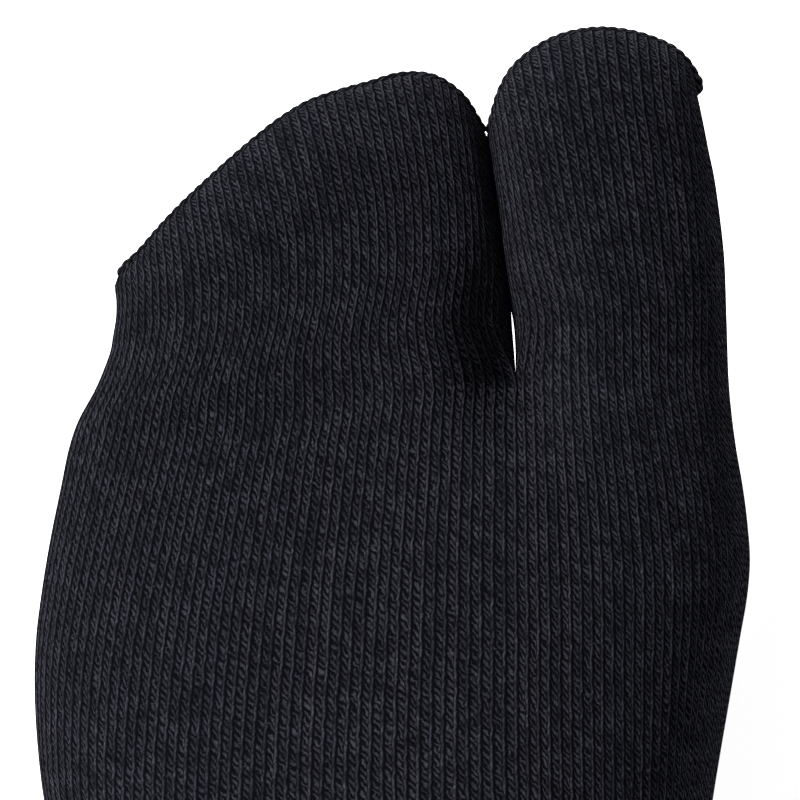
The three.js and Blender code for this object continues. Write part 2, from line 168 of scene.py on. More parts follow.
POCKET_POWER = 2.2  # of the superellipse of a pocket's section
EAR_SHARE, EAR_REACH, EAR_POWER = 0.95, 0.07, 10  # where the ear is, its length and how fast it fades
FORK_BLENDS = (0.5, 0.15)  # how much of the fork's own heights the two body rings keep
WEB_EDGE = 0.95  # how far across a pocket its own wales reach, the rest being the web's


# ---- Curves


def spline(rings, s):
    """Uniform Catmull-Rom through rings (first axis): p1 plus half of (p2 - p0) t, plus half of
    (2 p0 - 5 p1 + 4 p2 - p3) t squared, plus half of (3 p1 - p0 - 3 p2 + p3) t cubed. The ends are
    carried on straight. s may be an array of ring numbers."""
    rings = np.asarray(rings, float)
    s = np.clip(np.asarray(s, float), 0, len(rings) - 1)
    padded = np.concatenate([[2 * rings[0] - rings[1]], rings, [2 * rings[-1] - rings[-2]]])
    i = np.minimum(s.astype(int), len(rings) - 2)
    t = (s - i).reshape(s.shape + (1,) * (rings.ndim - 1))
    p0, p1, p2, p3 = padded[i], padded[i + 1], padded[i + 2], padded[i + 3]
    return p1 + 0.5 * t * (p2 - p0 + t * (2 * p0 - 5 * p1 + 4 * p2 - p3 + t * (3 * (p1 - p2) + p3 - p0)))


def smooth_table(rows, y):
    """Cubic Hermite between the rows of a table by its first column, each row's slope being the mean
    of the slopes on its two sides."""
    table = np.asarray(rows, float)
    at = table[:, 0]
    steps = np.diff(table, axis=0) / np.diff(at)[:, None]
    slope = np.concatenate([steps[:1], (steps[1:] + steps[:-1]) / 2, steps[-1:]])
    y = np.clip(np.asarray(y, float), at[0], at[-1])
    i = np.clip(np.searchsorted(at, y, side="right") - 1, 0, len(at) - 2)
    width = at[i + 1] - at[i]
    t = ((y - at[i]) / width)[..., None]
    a, b = table[i], table[i + 1]
    out_slope, in_slope = slope[i] * width[..., None], slope[i + 1] * width[..., None]
    return (
        (2 * t**3 - 3 * t**2 + 1) * a
        + (t**3 - 2 * t**2 + t) * out_slope
        + (3 * t**2 - 2 * t**3) * b
        + (t**3 - t**2) * in_slope
    )


def spread(points, count):
    """count + 1 points evenly spaced by length along a fine polyline."""
    reach = np.concatenate([[0.0], np.cumsum(np.linalg.norm(np.diff(points, axis=0), axis=1))])
    wanted = np.linspace(0, reach[-1], count + 1)
    return np.stack([np.interp(wanted, reach, points[:, k]) for k in range(3)], axis=1)


def smoothstep(t):
    """3 t squared - 2 t cubed, held at 0 and 1 outside."""
    t = np.clip(t, 0, 1)
    return t * t * (3 - 2 * t)


# ---- The tube from the cuff to the fork

FINE = 1200  # points of a fine polyline


def section_points(row, angle):
    """A section at some angles: x is the middle plus the half width times cos, shifted towards the
    ridge by sin squared on the instep; the rise is up or down times sin, squared off on the sole by a
    power."""
    y, z, tilt, lateral, medial, up, down, ridge, base = (row[..., k] for k in range(len(SECTION_COLUMNS)))
    middle, half = (lateral + medial) / 2, (medial - lateral) / 2
    c, s = np.cos(angle), np.sin(angle)
    sole = s < 0
    power = np.where(sole, 2 / base, 1.0)
    x = middle + half * np.sign(c) * np.abs(c) ** power + np.where(sole, 0, (ridge - middle) * s * s)
    rise = np.where(sole, -down * np.abs(s) ** power, up * s)
    lean = np.radians(tilt)
    return np.stack([x, y + rise * np.sin(lean), z + rise * np.cos(lean)], axis=-1)


def sunk(ring):
    """A foot ring with instep and sole sunk towards the fork's levels by a bell curve in x, which
    grows as a power of the way from the reach's start to the fork. x and y stay, so the wales keep
    their places seen from above."""
    x, y, z = ring.T
    share = np.clip((y - FORK_Y + FORK_REACH) / FORK_REACH, 0, 1)
    dip = share**FORK_POWER * np.exp(-(((x - CLEFT_X) / FORK_WIDTH) ** 2))
    level = np.where(np.arange(len(ring)) < len(ring) // 2, FORK_TOP, FORK_BOTTOM)
    return np.stack([x, y, z + (level - z) * dip], axis=-1)


def foot_points(y, slant, angle):
    """The foot's section at y, its points slid back towards the heel on the lateral side of the cleft
    by slant times a smooth step in x, which slants the courses and leaves the shape alone."""
    row = smooth_table(FOOT_SECTIONS, np.full(angle.shape, y))
    x = section_points(row, angle)[..., 0]
    back = slant * smoothstep((CLEFT_X - x) / (CLEFT_X - row[..., 3]))
    return section_points(smooth_table(FOOT_SECTIONS, y - back), angle)


def four_arcs(points_at, over, under):
    """A closed ring as four arcs, each with its wales evenly spaced: instep medial to cleft, cleft to
    lateral, then the sole lateral to cleft and cleft to medial."""
    arcs = ((0, over, BIG_TOE_WALES), (over, math.pi, FOUR_TOE_WALES))
    arcs += ((-math.pi, under, FOUR_TOE_WALES), (under, 0, BIG_TOE_WALES))
    parts = []
    for start, end, wales in arcs:
        fine = points_at(np.linspace(start, end, FINE))
        parts.append(spread(fine, wales * PER_WALE)[:-1])
    return np.concatenate(parts)


def cleft_angle(points_at, side):
    """The angle where a ring passes over the cleft's x, on the instep (1) or the sole (-1)."""
    angles = side * np.linspace(0, math.pi, FINE)
    x = points_at(angles)[:, 0]
    return angles[np.argmin(np.abs(x - CLEFT_X))]


def leg_ring(row):
    """A ring of the leg or ankle: each face's wales evenly spaced over the whole face."""
    face = WALES_ROUND // 2 * PER_WALE
    row = np.broadcast_to(np.asarray(row, float), (FINE, len(row)))
    over = spread(section_points(row, np.linspace(0, math.pi, FINE)), face)[:-1]
    under = spread(section_points(row, np.linspace(-math.pi, 0, FINE)), face)[:-1]
    return np.concatenate([over, under])


def foot_ring(y, slant):
    """A ring of the foot: four arcs of evenly spaced wales, sunk towards the fork."""

    def points_at(angle):
        return foot_points(y, slant, angle)

    return sunk(four_arcs(points_at, cleft_angle(points_at, 1), cleft_angle(points_at, -1)))


def tube_rings():
    """Every ring from the cuff to the fork. The courses begin to slant in the middle of the foot."""
    rings = [leg_ring(row) for row in LEG_SECTIONS]
    start = FOOT_SECTIONS[0][0]
    for y in np.linspace(start, FORK_Y, FOOT_RINGS):
        rings.append(foot_ring(y, COURSE_SLANT * smoothstep((y - start) / SLANT_REACH)))
    return np.array(rings)


# ---- The two pockets


def pocket_plan(pocket, share, across):
    """Coons patch in plan. Its four sides are the fork line, the outer side, the cleft line and the
    toe seam: the two side lines blended by across, plus the fork line and the seam blended by share,
    less the bilinear patch of the four corners. across is 0 on the outer side, 1 on the cleft. The
    wales bow by half a wave of sine along the pocket and a parabola across it, and the ear is a bell
    curve along it that fades by a power of the way across."""
    side = np.array(pocket["side"])
    seam = np.array(pocket["seam"])
    away = np.sign(side[0, 0])

    def inner(part):
        y = FORK_Y + (seam[-1, 1] - FORK_Y) * part
        _, x, half = smooth_table(CLEFT_LINE, np.atleast_1d(y)).T
        return np.stack([x + away * half, np.atleast_1d(y)], axis=-1)

    def lerp(a, b, t):
        return a + (b - a) * t

    fine = spline(seam, np.linspace(0, len(seam) - 1, FINE))
    even = spread(np.column_stack([fine, np.zeros(FINE)]), FINE)
    numbers = np.arange(FINE + 1)
    at_seam = np.stack([np.interp(across * FINE, numbers, even[:, k]) for k in (0, 1)], axis=-1)
    across_column = across[:, None]
    outer_end, inner_end = side[0], inner(0.0)[0]
    fork_x = lerp(outer_end[0], inner_end[0], across)
    fork_y = lerp(outer_end[1], inner_end[1], smoothstep(across))
    fork = np.stack([fork_x, fork_y], axis=-1)
    at_share = lerp(spline(side, share * (len(side) - 1)), inner(share)[0], across_column)
    ends = lerp(fork, at_seam, share)
    fork_corners = lerp(outer_end, inner_end, across_column)
    seam_corners = lerp(side[-1], inner(1.0)[0], across_column)
    corners = lerp(fork_corners, seam_corners, share)
    bow = pocket["bow"] * math.sin(math.pi * share) * 4 * across * (1 - across)
    ear = pocket["ear"] * math.exp(-(((share - EAR_SHARE) / EAR_REACH) ** 2))
    ear = ear * (1 - across) ** EAR_POWER
    return at_share + ends - corners + np.stack([bow + away * ear, np.zeros_like(bow)], axis=-1)


def pocket_ring(pocket, share, height, lift, first, second):
    """A ring of a pocket: over the instep the height rises above the side line by a superellipse
    crown, under it it falls to the sole by the same crown, both scaled by lift. lift 0 is the seam.
    first and second are how far across each column of the two arcs lies at the fork, from the outer
    side; towards the seam both go over to their mean, so that instep and sole meet there."""

    def points_at(across, over):
        crown = np.clip(1 - np.abs(2 * across - 1) ** POCKET_POWER, 0, 1) ** (1 / POCKET_POWER)
        top = TOE_SIDE_HEIGHT + (height - TOE_SIDE_HEIGHT) * crown * lift
        bottom = TOE_SIDE_HEIGHT * (1 - crown * lift)
        return np.column_stack([pocket_plan(pocket, share, across), top if over else bottom])

    over_first = pocket["instep_first"]
    mean = (first + second) / 2
    part = smoothstep(share)
    out = points_at((first + (mean - first) * part) * WEB_EDGE, over_first)
    back = points_at((second + (mean - second) * part) * WEB_EDGE, not over_first)[::-1]
    edge = np.linspace(WEB_EDGE, 1, FINE)
    wall = np.concatenate([points_at(edge, over_first), points_at(edge, not over_first)[::-1]])
    web = spread(wall, 2 * WEB_WALES * PER_WALE)[1:-1]
    return np.concatenate([out, web, back[:-1]])


def shared_columns(pocket):
    """The tube's columns that run on into a pocket: those of its first arc, both ends included, and
    those of its second."""
    count = pocket["wales"] * PER_WALE
    first, second = (start * PER_WALE for start in pocket["starts"])
    return first + np.arange(count + 1), second + np.arange(count)


def pocket_chain(name, tube):
    """A pocket's rings to the seam. The first two are the tube's last two, with the web's straight
    wall added between instep and sole. Number 1 is the fork, and number 0 only steers the curve."""
    pocket = POCKETS[name]
    first, second = shared_columns(pocket)
    steps = np.linspace(0, 1, 2 * WEB_WALES * PER_WALE + 1)[1:-1, None]
    rings = []
    for ring in (tube[FORK - 1], tube[FORK]):
        start, end = ring[first[-1]], ring[second[0]]
        rings.append(np.concatenate([ring[first], start + (end - start) * steps, ring[second]]))
    fork = tube[FORK]
    out = np.abs(fork[first, 0] - fork[first[0], 0])
    back = np.append(fork[second, 0], fork[first[0], 0])
    back = np.abs(back - back[-1])[::-1]
    arcs = (out / out[-1], back / back[-1])
    heights = pocket["heights"]
    for share, height, blend in zip(BODY_SHARES, heights, FORK_BLENDS):
        ring = pocket_ring(pocket, share, height, 1.0, *arcs)
        ring[:, 2] += (rings[1][:, 2] - ring[:, 2]) * blend
        rings.append(ring)
    for i in range(CLOSING_STEPS + 1):
        turn = math.pi / 2 * i / CLOSING_STEPS
        share = CLOSING_START + (1 - CLOSING_START) * math.sin(turn)
        lift = math.cos(turn) if i < CLOSING_STEPS else 0.0
        rings.append(pocket_ring(pocket, share, heights[-1], lift, *arcs))
    return np.array(rings)


def pocket_wales(name):
    """The wale count at each column of a pocket. The web's wales are numbered on from the first arc."""
    pocket = POCKETS[name]
    first, second = pocket["starts"]
    arc = np.arange((pocket["wales"] + 2 * WEB_WALES) * PER_WALE) / PER_WALE
    back = np.arange(pocket["wales"] * PER_WALE) / PER_WALE
    return np.concatenate([first + arc, second + back])


def ring_after_fork(chains):
    """The pockets' first rings beyond the fork laid on the tube's columns, to steer its last step."""
    ring = np.zeros((WALES_ROUND * PER_WALE, 3))
    for name, chain in chains.items():
        first, second = shared_columns(POCKETS[name])
        ring[first[:-1]] = chain[2][: len(first) - 1]
        ring[second] = chain[2][-len(second) :]
    return ring


# ---- Grids of cloth

WALL, CUFF_WALL = 1.5, 2.2
WALE_DEPTH, RIB_DEPTH = 0.18, 1.1
RIB_FADE = 3  # courses over which the cuff's ribs run out into the leg
INNER_ROWS, INNER_COLUMNS = 4, 4  # every how many rows and columns the inner face has a point


def course_rows(chain, column, first, last, per_course=1):
    """Ring numbers of the rows between two rings, one course / per_course apart by length along a
    column. Both ends are rows."""
    s = np.linspace(first, last, FINE // 3)  # fine enough to measure by
    path = spline(chain[:, column], s)
    reach = np.concatenate([[0.0], np.cumsum(np.linalg.norm(np.diff(path, axis=0), axis=1))])
    count = max(1, round(reach[-1] / COURSE)) * per_course
    return np.interp(np.linspace(0, reach[-1], count + 1), reach, s)


def knit_grid(chain, rows, closed=True):
    """Points of a chain of rings at some ring numbers, and unit normals there: the cross product of
    the step along the rows with the step across the columns, which points out of the tube."""
    small = 0.02
    base = spline(chain, rows)
    ahead = spline(chain, rows + small) - spline(chain, rows - small)
    if closed:
        across = np.roll(base, -1, axis=1) - np.roll(base, 1, axis=1)
    else:
        across = np.gradient(base, axis=1)
    normal = np.cross(ahead, across)
    return base, normal / np.maximum(np.linalg.norm(normal, axis=-1, keepdims=True), 1e-9)


def courses_along(base):
    """Course counts: the length along each column over the height of a course."""
    steps = np.linalg.norm(np.diff(base, axis=0), axis=-1)
    return np.concatenate([np.zeros((1, base.shape[1])), np.cumsum(steps, axis=0)]) / COURSE


def wale_relief(u, depth):
    """Each wale is a wave that is highest along the stitches' upright legs, at a quarter of a wale."""
    return -depth * (1 - np.cos(2 * math.pi * (u - 0.25))) / 2


def rib_relief(u, depth):
    """One rib to four wales, two out and two sunk: depth times the square of cos over four wales."""
    return -depth * np.cos(math.pi * u / 4) ** 2


def strip(fine, coarse, flip):
    """Triangles between two rows of vertex numbers of any lengths. Each step along a row makes one, and
    the steps of both rows are taken in order of how far along the strip they end."""
    last_fine, last_coarse = len(fine) - 1, len(coarse) - 1
    fine_ends = np.arange(1, last_fine + 1) * last_coarse
    coarse_ends = np.arange(1, last_coarse + 1) * last_fine
    order = np.argsort(np.concatenate([fine_ends, coarse_ends]), kind="stable")
    on_fine = order < last_fine
    i = np.cumsum(on_fine) - on_fine
    j = np.cumsum(~on_fine) - (1 - on_fine)
    fine_ahead = fine[np.minimum(i + 1, last_fine)]
    coarse_ahead = coarse[np.minimum(j + 1, last_coarse)]
    faces = np.stack([fine[i], np.where(on_fine, fine_ahead, coarse_ahead), coarse[j]], axis=-1)
    return faces[:, ::-1] if flip else faces


def grid_faces(numbers, closed):
    """Quads of a grid of vertex numbers, facing out of the tube."""
    if closed:
        numbers = np.concatenate([numbers, numbers[:, :1]], axis=1)
    a, b = numbers[:-1, :-1], numbers[:-1, 1:]
    c, d = numbers[1:, 1:], numbers[1:, :-1]
    return np.stack([d, c, b, a], axis=-1).reshape(-1, 4)


def grid_uv(u, step, v, closed):
    """The UV of each quad's corners, in grid_faces' order. A quad ends one step of wales on from its
    column's count, so a ring's last quad doesn't run back to 0."""
    columns = v.shape[1] if closed else v.shape[1] - 1
    start = np.broadcast_to(u[:columns], (v.shape[0] - 1, columns))
    ahead = np.roll(v, -1, axis=1)[:, :columns]
    here = v[:, :columns]
    corner_u = np.stack([start, start + step, start + step, start], axis=-1)
    corner_v = np.stack([here[1:], ahead[1:], ahead[:-1], here[:-1]], axis=-1)
    return np.stack([corner_u, corner_v], axis=-1).reshape(-1, 4, 2)


SHARP_ANGLE = math.radians(60)  # sharper edges, as at a rim, aren't shaded smooth


def mesh_object(name, points, faces, face_uvs, material):
    """A smooth mesh object in the row frame, from points in millimetres and arrays of faces with the
    UV of their corners."""
    mesh = bpy.data.meshes.new(name)
    mesh.vertices.add(len(points))
    mesh.vertices.foreach_set("co", ((points + TO_ROW_FRAME) * MM).astype(np.float32).ravel())
    sizes = np.concatenate([np.full(len(f), f.shape[1]) for f in faces])
    mesh.loops.add(int(sizes.sum()))
    corners = np.concatenate([f.ravel() for f in faces])
    mesh.loops.foreach_set("vertex_index", corners.astype(np.int32))
    mesh.polygons.add(len(sizes))
    mesh.polygons.foreach_set("loop_start", (np.cumsum(sizes) - sizes).astype(np.int32))
    mesh.polygons.foreach_set("use_smooth", np.ones(len(sizes), bool))
    mesh.update(calc_edges=True)
    if mesh.validate(verbose=False):
        raise RuntimeError(f"{name}: the mesh had faults")
    layer = mesh.uv_layers.new(name="knit")
    corner_uvs = np.concatenate([uv.reshape(-1, 2) for uv in face_uvs])
    layer.uv.foreach_set("vector", corner_uvs.astype(np.float32).ravel())
    mesh.set_sharp_from_angle(angle=SHARP_ANGLE)
    mesh.materials.append(material)
    thing = bpy.data.objects.new(name, mesh)
    bpy.context.collection.objects.link(thing)
    return thing


def knit_object(name, base, normal, points, u, v, material, wall=WALL, closed=True, tip=False):
    """A closed wall of cloth: the fine outer face at points, a coarse smooth inner face one wall in
    from base, and rims between. With tip, the last row closes to a line, column j on column n - j."""
    rows, columns = v.shape
    pick_rows = np.unique(np.append(np.arange(0, rows, INNER_ROWS), rows - 1))
    pick_columns = np.arange(0, columns, INNER_COLUMNS)
    inner_base = base - normal * wall
    outer = np.arange(rows * columns).reshape(rows, columns)
    inner = rows * columns + np.arange(len(pick_rows) * len(pick_columns)).reshape(len(pick_rows), -1)
    if tip:
        forward = base[-1] - base[-3]
        forward = forward + np.roll(forward[::-1], 1, axis=0)
        forward /= np.linalg.norm(forward, axis=1, keepdims=True)
        inner_base[-1] = base[-1] - forward * wall
        for numbers in (outer, inner):
            turn = np.arange(numbers.shape[1])
            numbers[-1] = numbers[-1][np.minimum(turn, len(turn) - turn)]
    inner_v = v[np.ix_(pick_rows, pick_columns)]
    inner_points = inner_base[np.ix_(pick_rows, pick_columns)]

    def ring(numbers):
        return np.append(numbers, numbers[0]) if closed else numbers

    rims = [strip(ring(outer[0]), ring(inner[0]), False)]
    if not tip:
        rims.append(strip(ring(outer[-1]), ring(inner[-1]), True))
    if not closed:
        rims.append(strip(outer[:, 0], inner[:, 0], True))
        rims.append(strip(outer[:, -1], inner[:, -1], False))
    rims = np.concatenate(rims)
    faces = [grid_faces(outer, closed), grid_faces(inner, closed)[:, ::-1], rims]

    at_points = np.stack([np.broadcast_to(u, v.shape), v], axis=-1)
    at_inner = np.stack([np.broadcast_to(u[pick_columns], inner_v.shape), inner_v], axis=-1)
    at_all = np.concatenate([at_points.reshape(-1, 2), at_inner.reshape(-1, 2)])
    uvs = [
        grid_uv(u, 1 / PER_WALE, v, closed),
        grid_uv(u[pick_columns], INNER_COLUMNS / PER_WALE, inner_v, closed)[:, ::-1],
        at_all[rims],
    ]
    every = np.concatenate([points.reshape(-1, 3), inner_points.reshape(-1, 3)])
    used = np.unique(np.concatenate([f.ravel() for f in faces]))
    place = np.zeros(len(every), int)
    place[used] = np.arange(len(used))
    return mesh_object(name, every[used], [place[f] for f in faces], uvs, material)


# ---- Shader nodes


class Tree:
    """A node tree being filled, with short calls for the nodes that the materials repeat."""

    def __init__(self, tree):
        self.nodes, self.links = tree.nodes, tree.links

    def add(self, kind, inputs=(), **settings):
        """A shader node of a kind, set up, with its inputs linked or set by name or number."""
        node = self.nodes.new("ShaderNode" + kind)
        for key, value in settings.items():
            setattr(node, key, value)
        for key, value in dict(inputs).items():
            self.put(node.inputs[key], value)
        return node

    def put(self, socket, value):
        """Links a socket to another, or sets its value."""
        if isinstance(value, bpy.types.NodeSocket):
            self.links.new(value, socket)
        else:
            socket.default_value = value

    def math(self, operation, *values, clamp=False):
        """The result of a Math node."""
        node = self.add("Math", enumerate(values), operation=operation, use_clamp=clamp)
        return node.outputs[0]

    def step(self, value, low, high, to_low=0.0, to_high=1.0):
        """A smooth step from low to high."""
        inputs = {"Value": value, "From Min": low, "From Max": high, "To Min": to_low, "To Max": to_high}
        return self.add("MapRange", inputs, interpolation_type="SMOOTHSTEP").outputs[0]

    def noise(self, vector, scale, detail=2.0):
        """The value of a 3-D noise, about 0.5 on average."""
        inputs = {"Vector": vector, "Scale": scale, "Detail": detail}
        return self.add("TexNoise", inputs).outputs["Fac"]

    def mix(self, factor, a, b):
        """A colour between two."""
        node = self.add("Mix", data_type="RGBA")
        for socket, value in zip((node.inputs[0], node.inputs[6], node.inputs[7]), (factor, a, b)):
            self.put(socket, value)
        return node.outputs[2]


def new_group(name, inputs, outputs):
    """An empty shader node group with its interface, a Tree to fill it, and its two end nodes."""
    group = bpy.data.node_groups.new(name, "ShaderNodeTree")
    for label, kind, default in inputs:
        socket = group.interface.new_socket(name=label, in_out="INPUT", socket_type=kind)
        if default is not None:
            socket.default_value = default
    for label, kind in outputs:
        group.interface.new_socket(name=label, in_out="OUTPUT", socket_type=kind)
    tree = Tree(group)
    begin, end = (tree.nodes.new(kind) for kind in ("NodeGroupInput", "NodeGroupOutput"))
    return group, tree, begin.outputs, end.inputs


LEFT_LEG, RIGHT_LEG = 0.43, 0.78  # where the middles of a stitch's legs lie across a wale


def stitch_group():
    """Jersey stitches from a count of wales and courses. In each wale the right leg of the stitches
    runs into one upright ridge, and the left leg is a short slanting stroke in every course."""
    group, t, source, sink = new_group(
        "knit stitch",
        (
            ("Knit UV", "NodeSocketVector", None),
            ("Object", "NodeSocketVector", None),
            ("Stroke Slant", "NodeSocketFloat", 2.0),
            ("Stroke Width", "NodeSocketFloat", 0.62),
            ("Unevenness", "NodeSocketFloat", 0.3),
        ),
        (
            ("Height", "NodeSocketFloat"),
            ("Stitch Tone", "NodeSocketFloat"),
            ("Wale Tone", "NodeSocketFloat"),
        ),
    )
    uneven = source["Unevenness"]
    parts = t.add("SeparateXYZ", {0: source["Knit UV"]})
    # a runs from 0 to 1 across a wale and b counts courses, both bent by slow and by fine noise.
    sway = t.math("MULTIPLY", t.math("SUBTRACT", t.noise(source["Knit UV"], 0.55, 3), 0.5), uneven)
    drift = t.math("MULTIPLY", t.math("SUBTRACT", t.noise(source["Object"], 210.0, 3), 0.5), uneven)
    across = t.math("SUBTRACT", sway, parts.outputs[0])
    a = t.math("FRACT", across)
    wale = t.math("FLOOR", across)
    b = t.math("MULTIPLY_ADD", drift, 4.0, parts.outputs[1])
    kink = t.math("MULTIPLY", t.math("SUBTRACT", t.noise(source["Object"], 900.0, 2), 0.5), uneven)
    b = t.math("MULTIPLY_ADD", kink, 3.0, b)
    a = t.math("MULTIPLY_ADD", kink, 0.75, a)

    # The right legs: a ridge in each wale that thins once a course and is worn away in places.
    ridge_off = t.math("ABSOLUTE", t.math("SUBTRACT", a, RIGHT_LEG))
    ridge = t.step(ridge_off, 0.02, 0.18, 1.0, 0.0)
    beat = t.math("COSINE", t.math("MULTIPLY", b, 2 * math.pi))
    ridge = t.math("MULTIPLY", ridge, t.math("MULTIPLY_ADD", beat, 0.16, 0.84))
    worn = t.step(t.noise(source["Object"], 520.0, 3), 0.36, 0.62, 0.55, 1.08)
    ridge = t.math("MULTIPLY", ridge, worn)

    # The left legs: a slanting stroke in each course, cut off short of the ridge.
    slope = t.math("MULTIPLY", t.math("SUBTRACT", a, LEFT_LEG), source["Stroke Slant"])
    q = t.math("ADD", b, slope)
    course = t.math("ROUND", q)
    off = t.math("ABSOLUTE", t.math("SUBTRACT", q, course))
    half = t.math("MULTIPLY", source["Stroke Width"], t.noise(source["Object"], 1100.0, 2))
    stroke = t.step(off, t.math("MULTIPLY", half, 0.2), t.math("MULTIPLY", half, 1.3), 1.0, 0.0)
    window = t.math("MULTIPLY", t.step(a, 0.0, 0.22), t.step(a, 0.54, 0.70, 1.0, 0.0))
    stroke = t.math("MULTIPLY", stroke, window)

    height = t.math("MAXIMUM", ridge, t.math("MULTIPLY", stroke, 0.75))
    # Each stitch and each wale has a tone of its own.
    cell = t.add("CombineXYZ", {0: wale, 1: course, 2: 0.0}).outputs[0]
    stitch_tone = t.add("TexWhiteNoise", {0: cell}, noise_dimensions="3D").outputs["Value"]
    smooth_tone = t.noise(source["Knit UV"], 0.9, 2)
    stitch_tone = t.math("MULTIPLY", stitch_tone, 0.5)
    stitch_tone = t.math("MULTIPLY_ADD", t.step(smooth_tone, 0.3, 0.7), 0.5, stitch_tone)
    column = t.add("TexWhiteNoise", {"W": wale}, noise_dimensions="1D").outputs["Value"]
    t.put(sink["Height"], height)
    t.put(sink["Stitch Tone"], stitch_tone)
    t.put(sink["Wale Tone"], column)
    return group


def fuzz_group():
    """Loose fibre ends: a fine noise for the bump, pale flecks on few spots, and slow variation of
    tone over several stitches."""
    group, t, source, sink = new_group(
        "yarn fuzz",
        (
            ("Object", "NodeSocketVector", None),
            ("Fibre Scale", "NodeSocketFloat", 2600.0),
            ("Patch Scale", "NodeSocketFloat", 260.0),
            ("Fleck Amount", "NodeSocketFloat", 0.3),
        ),
        (("Fibre", "NodeSocketFloat"), ("Flecks", "NodeSocketFloat"), ("Patch", "NodeSocketFloat")),
    )
    place = source["Object"]
    fibre = t.noise(place, source["Fibre Scale"], 4)
    fleck = t.step(t.noise(place, t.math("MULTIPLY", source["Fibre Scale"], 0.62), 3), 0.66, 0.74)
    t.put(sink["Fibre"], fibre)
    t.put(sink["Flecks"], t.math("MULTIPLY", fleck, source["Fleck Amount"]))
    t.put(sink["Patch"], t.step(t.noise(place, source["Patch Scale"], 4), 0.34, 0.66))
    return group


def group_node(tree, group, inputs):
    """A group used in a tree, with its inputs linked or set by name."""
    node = tree.nodes.new("ShaderNodeGroup")
    node.node_tree = group
    node.label = group.name
    for key, value in inputs.items():
        tree.put(node.inputs[key], value)
    return node.outputs


WARMER = (1.06, 0.99, 0.95)  # what the warmest wales' colour is multiplied by
PALER = 0.035  # grey that the fibre ends add to the yarn


def knit_material(name, yarn, settings, stitches, fuzz):
    """Napped cotton yarn knitted in jersey: stitches by the piece's knit UV with painted shade in the gaps
    between them, tone varied by stitch, wale and patch, pale flecks, fibre bump and a soft sheen at the
    rims."""
    material = bpy.data.materials.new(name)
    material.use_nodes = True
    material.diffuse_color = (*yarn, 1.0)
    t = Tree(material.node_tree)
    t.nodes.clear()
    knit_uv = t.add("UVMap", uv_map="knit").outputs[0]
    place = t.add("TexCoord").outputs["Object"]
    stitch = group_node(
        t, stitches, {"Knit UV": knit_uv, "Object": place, "Unevenness": settings.unevenness}
    )
    loose = group_node(t, fuzz, {"Object": place, "Fleck Amount": settings.flecks})

    tone = t.math("MULTIPLY_ADD", stitch["Stitch Tone"], 0.80, 0.32)
    tone = t.math("MULTIPLY_ADD", stitch["Wale Tone"], 0.30, tone)
    tone = t.math("MULTIPLY_ADD", loose["Patch"], 0.40, tone)
    tone = t.math("MULTIPLY", tone, t.math("MULTIPLY_ADD", loose["Fibre"], 2.2, -0.25))
    warmer = tuple(c * k for c, k in zip(yarn, WARMER))
    tinted = t.mix(stitch["Wale Tone"], (*yarn, 1.0), (*warmer, 1.0))
    lit = t.add("VectorMath", {0: tinted, "Scale": tone}, operation="SCALE").outputs[0]
    # The gaps between the stitches' legs get painted shade: the yarn's colour darkened by the gap shade
    # share, laid where the stitch height is low.
    gap = tuple(c * settings.painted_gap_shade for c in yarn)
    colour = t.mix(stitch["Height"], (*gap, 1.0), lit)
    pale = tuple(0.6 * c + PALER for c in yarn)
    colour = t.mix(loose["Flecks"], colour, (*pale, 1.0))

    height = t.math("MULTIPLY_ADD", loose["Fibre"], 0.35, stitch["Height"])
    relief = {"Strength": 1.0, "Distance": settings.stitch_depth, "Height": height}
    bump = t.add("Bump", relief).outputs[0]
    shader = t.add(
        "BsdfPrincipled",
        {
            "Base Color": colour,
            "Roughness": t.math("MULTIPLY_ADD", loose["Fibre"], 0.15, 0.80),
            "Specular IOR Level": 0.0,
            "Sheen Weight": t.math("MULTIPLY", stitch["Height"], settings.sheen),
            "Sheen Roughness": 0.45,
            "Sheen Tint": (0.55, 0.58, 0.66, 1.0),
            "Normal": bump,
        },
    )
    out = t.add("OutputMaterial")
    t.links.new(shader.outputs[0], out.inputs["Surface"])
    return material


# ---- Settings


def colour_setting(label, text, value):
    """A colour in the panel."""
    return FloatVectorProperty(name=label, description=text, subtype="COLOR", size=3, default=value)


def number_setting(label, text, value, **limits):
    """A number in the panel, never below 0."""
    return FloatProperty(name=label, description=text, default=value, min=0.0, **limits)


class KnitSettings(PropertyGroup):
    """The yarn and how it is knitted."""

    yarn: colour_setting("Yarn", "Colour of the yarn", (0.0212, 0.0223, 0.0302))
    seam_yarn: colour_setting("Seam yarn", "Colour of the linked toe seams", (0.0300, 0.0315, 0.0400))
    unevenness: number_setting("Unevenness", "How far the stitches wander, in wales", 0.34, max=1.0)
    stitch_depth: number_setting(
        "Stitch depth", "Height of a leg of a stitch above the gaps", 0.00016, unit="LENGTH"
    )
    # The gaps' colour as a share of the yarn's: painted shade between the stitches.
    painted_gap_shade: number_setting("Gap shade", "Brightness of the gaps beside the yarn's", 0.10, max=1.0)
    flecks: number_setting("Flecks", "Strength of the pale fibre ends", 0.35, max=1.0)
    sheen: number_setting("Sheen", "Brightness of the nap at the rims", 0.10)


class StageSettings(PropertyGroup):
    """The camera, floor and lights."""

    view_height: number_setting("View height", "Camera above the toes", 1.1, unit="LENGTH")
    view_width: number_setting("View width", "Width of the view at the toes", 0.108, unit="LENGTH")
    floor_gap: number_setting("Floor gap", "Floor below the sole", 0.06, unit="LENGTH")
    key_power: number_setting("Key light", "Power of the key light", 50.0, unit="POWER")
    sky: number_setting("Sky", "Brightness of the white surroundings", 0.38)


# ---- Operators


def finish_piece(thing, nodes):
    """Puts a piece in the place of CAD nodes, on the sock's one body."""
    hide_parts(*nodes)
    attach(thing, "root")


class Yarns:
    """The materials and the surface, made once and shared by the operators."""

    materials = {}
    tube = None
    chains = {}


